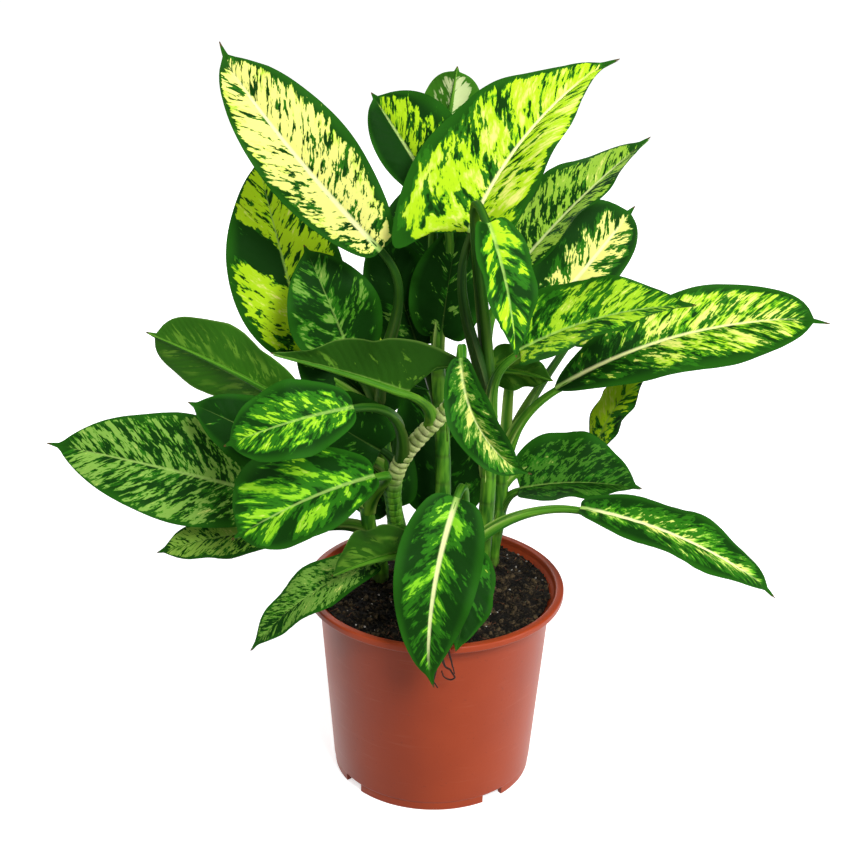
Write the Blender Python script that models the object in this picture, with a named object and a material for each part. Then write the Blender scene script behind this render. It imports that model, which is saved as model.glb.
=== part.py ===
"""A dieffenbachia in a nursery pot: a pot, its soil and seven leafy shoots.

The frame is in metres, +Z up. The origin is the middle of the pot's underside, on the floor, and the
side that the plant shows best looks along -Y.
"""

from collections import namedtuple
from math import cos, pi, radians, sin

import bmesh
import bpy
import numpy as np

CM = 0.01
GAP = 0.03 * CM  # clearance between pieces that touch

# Pot
RIM_RADIUS = 8.5 * CM
POT_HEIGHT = 13.4 * CM
NECK_RADIUS = 7.65 * CM  # the wall's outside, just under the rim band
FOOT_RADIUS = 6.6 * CM
WALL = 0.2 * CM
RIM_BAND = 0.5 * CM
LIP_WIDTH = 0.55 * CM
SKIRT_HEIGHT = 0.65 * CM
SKIRT_WIDTH = 0.35 * CM
PAD_RADIUS = 4.5 * CM  # the flat middle of the floor, inside the drainage channel
CHANNEL_HEIGHT = 0.55 * CM
NOTCH_WIDTH = 1.6 * CM
NOTCH_COUNT = 4
NOTCH_ANGLE = -52  # degrees from +X to the first notch
DRAIN_RADIUS = 0.4 * CM
POT_SIDES = 44

# Soil
SOIL_EDGE = 12.95 * CM
SOIL_MOUND = 0.35 * CM
SOIL_SPREAD = 0.15 * CM  # how far the top widens inside the rim band
SOIL_LUMP = 0.12 * CM

# Shoots
CANE_RADIUS = 0.6 * CM
CANE_TAPER = 0.25  # part of the radius that a cane loses by its top
CANE_RING = 0.04 * CM
CANE_SIDES = 8
CANE_STEPS = 4  # rings between two points of a cane
ROOT_DEPTH = 5 * CM
STALK_FOOT = 0.42 * CM
STALK_HEAD = 0.24 * CM
STALK_SINK = 0.6 * CM  # how far below its joint a stalk starts inside the cane
BLADE_THICKNESS = 0.09 * CM
COLUMNS = (-1, -0.5, 0, 0.5, 1)
STALK_STATIONS = (0, 0.35, 0.7)
BLADE_STATIONS = (0, 0.03, 0.1, 0.2, 0.32, 0.45, 0.58, 0.7, 0.8, 0.89, 0.945, 1)

# A shoot's cane: where it stands in the soil, then the points it leans through, in centimetres.
Shoot = namedtuple("Shoot", "name foot lean")
SHOOTS = (
    Shoot("shoot_left", (-3.6, 0.6), ((-4.2, 0.2, 16.5), (-4.6, -0.4, 19.5))),
    Shoot("shoot_ringed", (-1.6, -1.0), ((-2.6, -1.6, 18.5), (-2.4, -2.4, 23.0), (0.8, -3.2, 27.5))),
    Shoot("shoot_back_left", (-2.2, 3.6), ((-3.2, 3.4, 19.0), (-4.0, 3.2, 25.0))),
    Shoot("shoot_centre", (0.4, 2.4), ((0.4, 3.0, 21.0), (-0.2, 3.4, 29.0))),
    Shoot("shoot_tall", (3.0, 0.0), ((3.3, 0.0, 20.0), (3.3, -0.3, 26.0))),
    Shoot("shoot_right", (3.8, 3.2), ((4.2, 3.2, 17.0), (4.4, 3.0, 22.0))),
    Shoot("shoot_front", (1.4, -2.8), ((1.5, -3.0, 15.5), (1.6, -3.4, 17.5))),
)

# A leaf: its shoot, how far up the cane its stalk leaves (0 to 1), the heel and the tip of the blade,
# the way its upper side looks, its width, how far the midrib rises above the straight line from heel
# to tip and how far it sways to its right, the fold of its halves in degrees, the turn of the blade
# about the midrib in degrees, the depth of its waves, the part by which the right half is wider than
# the left, how far the base reaches back beside the stalk, how far the tip bends to the right, and
# where along the blade it is widest.
# Lengths are in centimetres.
Leaf = namedtuple("Leaf", "name shoot at heel tip face width rise sway fold turn wave skew lobe hook shoulder",
                  defaults=(0.6, 0, 15, 0, 0.2, 0, 0.8, 0, 0.4))
LEAVES = (
    Leaf("top_left", "shoot_back_left", 1.0, (-3.7, 0.5, 36), (-13.8, 3, 47.8), (0.1, -1, 0.4), 5.9, 0.4, -0.4, skew=0.15,
         shoulder=0.48, hook=0.4),
    Leaf("top_right", "shoot_tall", 0.95, (1.6, -2, 38), (10.1, 3, 47.6), (-0.6, -0.65, 0.6), 9.6, 0.8, -0.7, 30,
         skew=-0.05, lobe=5.2, shoulder=0.26, hook=0.5),
    Leaf("crown_back", "shoot_centre", 1.0, (-0.1, 6, 40), (0.8, 7, 46), (0.2, 1, 0.1), 4, 0.3, 0, 25, shoulder=0.6),
    Leaf("crown_left", "shoot_centre", 0.95, (-0.4, 3.5, 38.8), (-4.5, 5, 44.7), (0.1, -1, 0.2), 5.4, 0.4, 0, 25,
         skew=0.3, shoulder=0.5),
    Leaf("upper_right", "shoot_tall", 0.85, (4, 1.5, 33.7), (13, 6, 42), (-0.6, -0.35, 0.75), 5.8, 0.5, 0, 20, wave=0.3,
         skew=-0.3),
    Leaf("mid_right", "shoot_right", 1.0, (6, 3.5, 30), (12.3, 6, 37.5), (0.2, -0.8, 0.4), 5.8, skew=-0.3,
         shoulder=0.6),
    Leaf("far_right", "shoot_right", 0.9, (7.5, 2, 26.5), (24.7, 3, 31.2), (-0.2, -0.6, 0.75), 6.7, 0.4, -1.3, 30, skew=0.18,
         lobe=0.3, shoulder=0.6, hook=0.4),
    Leaf("front_right", "shoot_tall", 0.9, (4.8, -3, 31), (15, -4.5, 34.6), (-0.2, -0.3, 0.9), 6.8, 0.2, -0.9, 26, lobe=1.6,
         shoulder=0.28),
    Leaf("hanging", "shoot_tall", 1.0, (2.6, -5.8, 39.8), (4.3, -8.9, 32.8), (0.5, -0.9, 0.2), 3.6, 0.4, -0.1, 25),
    Leaf("tucked", "shoot_tall", 0.6, (3.3, 1.4, 28.2), (7.2, 0.6, 27.6), (0.1, 1, 0.3), 3.8, 0.3, lobe=0.3, shoulder=0.3),
    Leaf("front_centre", "shoot_ringed", 1.0, (1.2, -7, 32), (5.1, -9.5, 25.6), (-0.2, -1, 0.2), 3.1, 0.6, 0.9, 35,
         lobe=0.4, shoulder=0.5, hook=-0.4),
    Leaf("folded_left", "shoot_ringed", 0.9, (-1.8, -4, 28.6), (-10, -5.5, 31.5), (0.1, 0.7, 0.8), 7.5, 0.2, 0, 38,
         lobe=4.5, shoulder=0.16),
    Leaf("back_turned", "shoot_back_left", 0.8, (-8, 0.5, 25), (-18.7, 2.5, 29.7), (-0.1, 0.9, 0.3), 5.6, 0.5,
         shoulder=0.64),
    Leaf("front_left", "shoot_ringed", 0.7, (-5, -7.5, 29), (-12.5, -9, 27), (-0.1, -0.7, 0.7), 5, lobe=0.4,
         shoulder=0.5),
    Leaf("lower_left", "shoot_left", 0.9, (-3.8, -5.4, 23.6), (-12.2, -9, 20.9), (-0.1, -0.6, 0.8), 6.9, 0.8, skew=0.2,
         shoulder=0.58),
    Leaf("far_left", "shoot_left", 1.0, (-10.5, -1, 20), (-25.2, 1, 22.5), (0.1, -0.75, 0.6), 7.2, skew=0.05),
    Leaf("dark_left", "shoot_back_left", 0.6, (-8.5, -1.2, 22.8), (-15.7, -0.8, 26.3), (0.1, -0.7, 0.5), 4.6),
    Leaf("low_left", "shoot_left", 0.6, (-10, -2, 18), (-18, -1.5, 16), (0, -0.5, 0.8), 3.6),
    Leaf("over_rim", "shoot_left", 0.4, (-3.8, -4, 17), (-11.6, -6.2, 11.6), (-0.1, -0.3, 0.9), 3.8, 1.1),
    Leaf("young_left", "shoot_ringed", 0.3, (-1.6, -6.2, 19), (-6.4, -7, 17.5), (0.1, 0.75, 0.6), 5, 0.3, 0, 30),
    Leaf("front_drop", "shoot_front", 1.0, (1.2, -7, 23), (-0.3, -10.7, 12), (0, -0.95, 0.3), 5.2, 0.9, 0.6, lobe=0.5,
         shoulder=0.37, hook=-0.3),
    Leaf("behind_drop", "shoot_front", 0.6, (2.2, -5.5, 18.5), (1.3, -9.2, 13.6), (0.3, -0.9, 0.4), 3.4, 0.5),
    Leaf("low_right", "shoot_front", 0.9, (9, -3, 20.5), (21.4, -5, 15.7), (0.3, -0.2, 0.9), 5.5, 1, shoulder=0.5,
         hook=0.5),
    Leaf("shelf_right", "shoot_right", 0.5, (5.5, 2.8, 19), (13.5, 2, 19.5), (0, -0.35, 0.9), 7.2, 0.3, -0.3, 38),
    Leaf("edge_right", "shoot_right", 0.75, (10.9, 6.5, 21), (14, 7, 25.8), (-0.6, -0.5, 0.5), 3),
    Leaf("big_back_left", "shoot_back_left", 0.9, (-8.5, 4, 28), (-12, 8, 40), (0, -0.95, 0.3), 7.5),
    Leaf("mid_left", "shoot_back_left", 0.95, (-5.6, 2, 28.5), (-8.6, 3, 35.5), (0.2, -0.95, 0.2), 6),
    Leaf("mid_centre", "shoot_centre", 0.6, (0.1, 3.2, 29.5), (1.1, 4.2, 37), (-0.1, -0.9, 0.2), 4.8),
    Leaf("shadow_left", "shoot_back_left", 0.4, (-3.6, -0.4, 23), (-9, -1, 27), (-0.2, -0.9, 0.3), 5.4),
    Leaf("back_high", "shoot_centre", 0.8, (0, 7, 29), (-1.5, 11.5, 38), (0.1, -0.8, 0.5), 8.5, 1),
    Leaf("inner_left", "shoot_centre", 0.7, (-1.4, 4, 28.5), (-4.2, 5, 36.5), (0.1, -0.9, 0.2), 4.8, 0.4),
    Leaf("inner_low", "shoot_back_left", 0.5, (-3.4, 3.8, 23.5), (-9.5, 4.8, 29.5), (0.1, -0.9, 0.3), 5.6, 0.4),
    Leaf("back_foot", "shoot_back_left", 0.2, (-2.8, 4.8, 16.3), (-7, 8.8, 22.5), (0, -0.75, 0.6), 5.6, 1),
    Leaf("back_left", "shoot_back_left", 0.7, (-5, 8.5, 26), (-11, 18, 26), (0, 0.1, 1), 7.5, 1.2),
    Leaf("back_right", "shoot_right", 0.85, (8.5, 8, 27.3), (14.5, 14, 28.5), (0, 0.1, 1), 7, 1.2),
    Leaf("back_low", "shoot_centre", 0.2, (0.6, 6, 15.6), (0.2, 12, 25.4), (0, -0.75, 0.6), 7.2, 1),
)

# The blade's outline
FULLNESS = 1.25  # the lower, the blunter both ends
DRIP_START = 0.94
DRIP_WIDTH = 0.2 * CM
DRIP_END = 0.15  # part of that width left at the very tip
LOBE_START = 0.09
LOBE_END = 0.35
HOOK_START = 0.82
EDGE_CURL = 18  # degrees that each half bends down between midrib and edge
WAVES = 2.5


def clear_scene():
    for obj in list(bpy.data.objects):
        bpy.data.objects.remove(obj)


def make_material(name, colour, roughness):
    material = bpy.data.materials.new(name)
    material.use_nodes = True
    shader = material.node_tree.nodes["Principled BSDF"]
    shader.inputs["Base Color"].default_value = (*colour, 1)
    shader.inputs["Roughness"].default_value = roughness
    shader.inputs["Metallic"].default_value = 0
    return material


def mesh_object(name, points, faces, material=None):
    mesh = bpy.data.meshes.new(name)
    mesh.from_pydata([tuple(p) for p in points], [], faces)
    shape = bmesh.new()
    shape.from_mesh(mesh)
    bmesh.ops.recalc_face_normals(shape, faces=shape.faces)
    shape.to_mesh(mesh)
    shape.free()
    if material:
        mesh.materials.append(material)
    obj = bpy.data.objects.new(name, mesh)
    bpy.context.collection.objects.link(obj)
    return obj


def smooth(obj, angle):
    obj.data.shade_smooth()
    obj.data.set_sharp_from_angle(angle=radians(angle))


def unit(vector):
    vector = np.asarray(vector, float)
    return vector / np.linalg.norm(vector)


def apply_boolean(obj, tool, operation, solver="EXACT"):
    modifier = obj.modifiers.new(operation.lower(), "BOOLEAN")
    modifier.operation = operation
    modifier.solver = solver
    modifier.operand_type = "COLLECTION"
    modifier.collection = tool
    graph = bpy.context.evaluated_depsgraph_get()
    result = bpy.data.meshes.new_from_object(obj.evaluated_get(graph))
    obj.modifiers.clear()
    obj.data = result


def gather(name, objects):
    group = bpy.data.collections.new(name)
    bpy.context.scene.collection.children.link(group)
    for obj in objects:
        group.objects.link(obj)
        bpy.context.collection.objects.unlink(obj)
    return group


def drop(group):
    for obj in list(group.objects):
        bpy.data.objects.remove(obj)
    bpy.data.collections.remove(group)


def turned(name, profile, sides, material=None):
    """A closed round body from a profile of (radius, height) that starts and ends on the axis."""
    ring = [2 * pi * k / sides for k in range(sides)]
    points = [(0, 0, profile[0][1])]
    for radius, height in profile[1:-1]:
        points += [(radius * cos(a), radius * sin(a), height) for a in ring]
    points.append((0, 0, profile[-1][1]))
    last = len(points) - 1
    rows = len(profile) - 2
    faces = []
    for k in range(sides):
        n = (k + 1) % sides
        faces.append((0, 1 + n, 1 + k))
        for row in range(rows - 1):
            low = 1 + row * sides
            high = low + sides
            faces.append((low + k, low + n, high + n, high + k))
        top = 1 + (rows - 1) * sides
        faces.append((top + k, top + n, last))
    return mesh_object(name, points, faces, material)


def round_cutter(name, x, y, low, high, radius, sides=12):
    profile = [(0, low), (radius, low), (radius, high), (0, high)]
    cutter = turned(name, profile, sides)
    cutter.location = (x, y, 0)
    cutter.hide_render = True
    cutter.display_type = "WIRE"
    return cutter


def notch_cutter(name, angle):
    bpy.ops.mesh.primitive_cube_add(size=1)
    cutter = bpy.context.object
    cutter.name = name
    cutter.scale = (3 * SKIRT_WIDTH, NOTCH_WIDTH, 2 * CHANNEL_HEIGHT)
    cutter.location = (FOOT_RADIUS * cos(angle), FOOT_RADIUS * sin(angle), 0)
    cutter.rotation_euler = (0, 0, angle)
    cutter.hide_render = True
    cutter.display_type = "WIRE"
    return cutter


def make_pot(material):
    skirt_inside = FOOT_RADIUS - SKIRT_WIDTH
    band_foot = POT_HEIGHT - RIM_BAND
    lip_inside = RIM_RADIUS - LIP_WIDTH
    floor_top = CHANNEL_HEIGHT + WALL
    soft = 0.08 * CM
    outside = [
        (0, 0),
        (PAD_RADIUS - soft, 0),
        (PAD_RADIUS + soft, CHANNEL_HEIGHT),
        (skirt_inside - soft, CHANNEL_HEIGHT),
        (skirt_inside, 0),
        (FOOT_RADIUS, 0),
        (FOOT_RADIUS, SKIRT_HEIGHT - soft),
        (FOOT_RADIUS + soft, SKIRT_HEIGHT),
        (NECK_RADIUS, band_foot - soft),
        (NECK_RADIUS + soft, band_foot),
        (RIM_RADIUS - soft, band_foot),
        (RIM_RADIUS, band_foot + soft),
        (RIM_RADIUS, POT_HEIGHT - soft),
        (RIM_RADIUS - soft, POT_HEIGHT),
    ]
    inside = [
        (lip_inside + soft, POT_HEIGHT),
        (lip_inside, POT_HEIGHT - soft),
        (lip_inside - soft, band_foot + WALL),
        (NECK_RADIUS - WALL, band_foot - WALL),
        (FOOT_RADIUS - WALL, floor_top + soft),
        (skirt_inside - soft, floor_top),
        (PAD_RADIUS - soft, floor_top),
        (PAD_RADIUS - 3 * soft, WALL),
        (0, WALL),
    ]
    pot = turned("pot", outside + inside, POT_SIDES, material)
    cutters = []
    drain_circle = (PAD_RADIUS + skirt_inside) / 2
    for k in range(NOTCH_COUNT):
        angle = radians(NOTCH_ANGLE + 360 * k / NOTCH_COUNT)
        cutters.append(notch_cutter(f"notch_{k}", angle))
        x, y = drain_circle * cos(angle), drain_circle * sin(angle)
        cutters.append(round_cutter(f"drain_{k}", x, y, CHANNEL_HEIGHT / 2, 2 * floor_top, DRAIN_RADIUS))
    group = gather("pot_cutters", cutters)
    apply_boolean(pot, group, "DIFFERENCE")
    drop(group)
    smooth(pot, 30)
    return pot


def soil_height(x, y):
    """The top of the soil: a low mound with lumps."""
    reach = min(1, (x * x + y * y) ** 0.5 / NECK_RADIUS)
    lumps = sin(1.9 * x / CM + 0.7) * cos(1.6 * y / CM) + 0.6 * sin(2.7 * y / CM - 1.3 * x / CM)
    return SOIL_EDGE + SOIL_MOUND * (1 - reach**2) + SOIL_LUMP * lumps * (1 - reach**6)


def make_soil(material):
    wall = NECK_RADIUS - WALL - GAP
    foot = FOOT_RADIUS - WALL - 2 * GAP
    floor = CHANNEL_HEIGHT + WALL + GAP
    soft = 0.08 * CM
    pad = PAD_RADIUS - 3 * soft - 2 * GAP
    profile = [(0, WALL + GAP), (pad, WALL + GAP), (pad + 2 * soft, floor)]
    shelf = POT_HEIGHT - RIM_BAND - WALL - GAP
    profile += [(foot - 3 * soft, floor), (foot, floor + 2 * soft), (wall - GAP, shelf)]
    profile.append((wall + SOIL_SPREAD, SOIL_EDGE))
    profile += [(wall * part, SOIL_EDGE) for part in (0.84, 0.66, 0.48, 0.3, 0.14)]
    profile.append((0, SOIL_EDGE))
    soil = turned("soil", profile, POT_SIDES // 2 * 2, material)
    for vertex in soil.data.vertices:
        x, y, z = vertex.co
        if abs(z - SOIL_EDGE) < GAP:
            vertex.co.z = soil_height(x, y)
    holes = []
    for shoot in SHOOTS:
        x, y = (CM * c for c in shoot.foot)
        low = SOIL_EDGE - ROOT_DEPTH - GAP
        holes.append(round_cutter(f"hole_{shoot.name}", x, y, low, POT_HEIGHT + CM, CANE_RADIUS + 2 * GAP))
    group = gather("soil_holes", holes)
    apply_boolean(soil, group, "DIFFERENCE")
    drop(group)
    smooth(soil, 40)
    return soil


def cane_path(shoot):
    """Points up the cane: straight through the soil, then a smooth lean through the points given."""
    x, y = shoot.foot
    root = (x, y, (SOIL_EDGE - ROOT_DEPTH) / CM)
    knots = [np.array(p, float) for p in [root, (x, y, SOIL_EDGE / CM + 1.2), *shoot.lean]]
    ends = [knots[1] - (0, 0, 2), *knots[1:], 2 * knots[-1] - knots[-2]]
    path = [knots[0]]
    steps = CANE_STEPS
    for a, b, c, d in zip(ends, ends[1:], ends[2:], ends[3:]):
        for k in range(steps):
            t = k / steps
            bend = 2 * b + t * (c - a) + t * t * (2 * a - 5 * b + 4 * c - d) + t**3 * (3 * b - a - 3 * c + d)
            path.append(bend / 2)
    path.append(knots[-1])
    return CM * np.array(path)


def tangents(path):
    return np.array([unit(t) for t in np.gradient(path, axis=0)])


def point_on(path, part):
    """The point and direction at a part, 0 to 1, of the cane above the soil."""
    place = 1 + part * (len(path) - 2)
    k = min(int(place), len(path) - 2)
    t = place - k
    return path[k] * (1 - t) + path[k + 1] * t, tangents(path)[k]


def cane(shoot):
    path = cane_path(shoot)
    along = tangents(path)
    along[0] = along[1] = (0, 0, 1)
    points = []
    for k, (centre, tangent) in enumerate(zip(path, along)):
        side = unit(np.cross(tangent, (0, 1, 0)))
        front = np.cross(side, tangent)
        radius = CANE_RADIUS * (1 - CANE_TAPER * k / (len(path) - 1))
        radius -= CANE_RING * (k % 2) * (k > 1)
        for n in range(CANE_SIDES):
            a = 2 * pi * n / CANE_SIDES
            points.append(centre + radius * (cos(a) * side + sin(a) * front))
    return mesh_object(f"{shoot.name}_cane", points, tube_faces(len(path), CANE_SIDES))


def tube_faces(rings, sides):
    faces = [tuple(range(sides)), tuple(range((rings - 1) * sides, rings * sides))]
    for ring in range(rings - 1):
        low = ring * sides
        for k in range(sides):
            n = (k + 1) % sides
            faces.append((low + k, low + n, low + sides + n, low + sides + k))
    return faces


def half_width(leaf, s):
    x = min(1, s / DRIP_START)
    low, high = leaf.shoulder, 1 - leaf.shoulder
    swell = (x / low) ** (FULLNESS * low) * ((1 - x) / high) ** (FULLNESS * high)
    taper = min(1, (1 - s) / (1 - DRIP_START))
    drip = DRIP_WIDTH * (DRIP_END + (1 - DRIP_END) * taper)
    return ((leaf.width * CM / 2 * swell) ** 2 + drip**2) ** 0.5


def midrib(leaf, s):
    """The midrib's point and direction, and the blade's right and upward directions there."""
    heel, tip = (CM * np.array(p, float) for p in (leaf.heel, leaf.tip))
    chord = tip - heel
    up = np.array(leaf.face, float)
    up = unit(up - chord * up.dot(chord) / chord.dot(chord))
    right = np.cross(unit(chord), up)
    bow = CM * (leaf.rise * up + leaf.sway * right)
    bent = max(0, s - HOOK_START) / (1 - HOOK_START)
    hook = CM * leaf.hook * right
    point = heel + chord * s + bow * 4 * s * (1 - s) + hook * bent**2
    along = unit(chord + bow * 4 * (1 - 2 * s) + hook * 2 * bent / (1 - HOOK_START))
    up = unit(up - along * up.dot(along))
    right = np.cross(along, up)
    turn = radians(leaf.turn) * (s - 0.5)
    return point, along, cos(turn) * right + sin(turn) * up, cos(turn) * up - sin(turn) * right


def blade_ring(leaf, s):
    """One closed ring round the blade: its upper side from left to right, then its lower side back."""
    centre, along, right, up = midrib(leaf, s)
    fold = radians(leaf.fold)
    curl = radians(EDGE_CURL)
    # the lobes beside the stalk: round, and gone by LOBE_END
    lag = max(0, 1 - s / LOBE_END) ** 2 * (1 - max(0, 1 - s / LOBE_START) ** 2)
    upper = []
    lower = []
    for v in COLUMNS:
        u = abs(v)
        half = half_width(leaf, s) * (1 + leaf.skew * v)
        slope = fold - curl * u
        out = half * v * cos(fold - curl * u / 2)
        rise = half * u * sin(fold - curl * u / 2)
        rise += leaf.wave * CM * u**2 * sin(2 * pi * WAVES * s + 1.2 * v) * sin(pi * s)
        back = leaf.lobe * CM * (1 + leaf.skew * v) * u**2 * lag
        point = centre + right * out + up * rise - along * back
        normal = cos(slope) * up - sin(slope) * right * np.sign(v)
        depth = BLADE_THICKNESS
        if v == 0:
            depth += STALK_HEAD * (1 - s) ** 0.7
        upper.append(point)
        lower.append(point - normal * depth)
    return upper + lower[::-1]


def stalk_ring(centre, along, right, radius):
    side = unit(right - along * right.dot(along))
    up = np.cross(side, along)
    count = len(COLUMNS)
    step = pi / count
    upper = [pi - step * (k + 0.5) for k in range(count)]
    lower = [-a for a in upper[::-1]]
    return [centre + radius * (cos(a) * side + sin(a) * up) for a in upper + lower]


def stalk_rings(leaf, path):
    foot, cane_along = point_on(path, leaf.at)
    foot = foot - cane_along * STALK_SINK
    heel, blade_along, right, up = midrib(leaf, 0)
    heel = heel - up * STALK_HEAD
    span = np.linalg.norm(heel - foot)
    leave = unit(cane_along + 0.5 * unit(heel - foot)) * span * 0.4
    arrive = blade_along * span * 0.35
    rings = []
    for t in (*STALK_STATIONS, 1):
        a, b, c, d = (1 - t) ** 3, 3 * t * (1 - t) ** 2, 3 * t * t * (1 - t), t**3
        centre = a * foot + b * (foot + leave) + c * (heel - arrive) + d * heel
        along = unit(3 * (1 - t) ** 2 * leave + 6 * t * (1 - t) * (heel - arrive - foot - leave)
                     + 3 * t * t * arrive)
        rings.append(stalk_ring(centre, along, right, STALK_FOOT + (STALK_HEAD - STALK_FOOT) * t))
    return rings


def leaf_faces(rings):
    """Triangles with the same diagonal on the blade's upper and lower sides."""
    count = len(COLUMNS)
    size = 2 * count
    faces = [tuple(range(size)), tuple(range((rings - 1) * size, rings * size))]
    for ring in range(rings - 1):
        low = ring * size
        high = low + size
        for k in range(count - 1):
            under, next_under = size - 1 - k, size - 2 - k
            faces.append((low + k, low + k + 1, high + k + 1))
            faces.append((low + k, high + k + 1, high + k))
            faces.append((low + under, high + next_under, low + next_under))
            faces.append((low + under, high + under, high + next_under))
        for k in (count - 1, size - 1):
            n = (k + 1) % size
            faces.append((low + k, low + n, high + n, high + k))
    return faces


def make_leaf(leaf, path):
    rings = stalk_rings(leaf, path) + [blade_ring(leaf, s) for s in BLADE_STATIONS[1:]]
    points = [point for ring in rings for point in ring]
    return mesh_object(f"leaf_{leaf.name}", points, leaf_faces(len(rings)))


def make_shoot(shoot, material):
    """One grown piece: the cane with its leaves joined on."""
    path = cane_path(shoot)
    body = cane(shoot)
    leaves = gather(f"{shoot.name}_leaves", [make_leaf(leaf, path) for leaf in LEAVES if leaf.shoot == shoot.name])
    apply_boolean(body, leaves, "UNION", "MANIFOLD")
    drop(leaves)
    body.name = shoot.name
    body.data.materials.clear()
    body.data.materials.append(material)
    smooth(body, 50)
    return body


def main():
    clear_scene()
    terracotta = make_material("terracotta_plastic", (0.36, 0.07, 0.03), 0.45)
    earth = make_material("potting_soil", (0.02, 0.013, 0.009), 0.95)
    green = make_material("variegated_leaf", (0.12, 0.32, 0.03), 0.4)
    make_pot(terracotta)
    make_soil(earth)
    for shoot in SHOOTS:
        make_shoot(shoot, green)


main()
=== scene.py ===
import bmesh
import bpy
from math import cos, pi, radians, sin
from mathutils import Matrix, Vector


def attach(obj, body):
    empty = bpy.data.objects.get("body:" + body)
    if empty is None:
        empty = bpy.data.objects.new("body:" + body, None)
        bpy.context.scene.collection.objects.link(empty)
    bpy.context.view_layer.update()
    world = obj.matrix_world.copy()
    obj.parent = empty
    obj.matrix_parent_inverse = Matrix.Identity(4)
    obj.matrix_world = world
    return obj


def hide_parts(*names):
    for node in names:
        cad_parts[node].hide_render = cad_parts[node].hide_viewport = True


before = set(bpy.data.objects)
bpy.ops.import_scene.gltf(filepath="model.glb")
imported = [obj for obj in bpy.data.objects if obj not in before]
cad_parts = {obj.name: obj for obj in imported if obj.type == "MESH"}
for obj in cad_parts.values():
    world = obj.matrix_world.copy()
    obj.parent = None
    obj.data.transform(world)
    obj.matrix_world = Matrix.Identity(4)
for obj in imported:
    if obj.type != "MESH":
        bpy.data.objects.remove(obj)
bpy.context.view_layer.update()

cm = 0.01
creaseAngle = radians(65)


# sums on sockets: the same class serves the materials and the geometry trees
class Wire:
    def __init__(self, net, socket):
        self.net = net
        self.socket = socket

    def __abs__(self):
        return self.net.number("ABSOLUTE", self)


def operator(work, turned):
    # 1 - mask is the turned form of mask - 1
    return lambda wire, other: wire.net.sum(work, *((other, wire) if turned else (wire, other)))


for sign, work in (("add", "ADD"), ("sub", "SUBTRACT"), ("mul", "MULTIPLY"), ("truediv", "DIVIDE"),
                   ("pow", "POWER")):
    setattr(Wire, f"__{sign}__", operator(work, False))
    setattr(Wire, f"__r{sign}__", operator(work, True))


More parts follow.
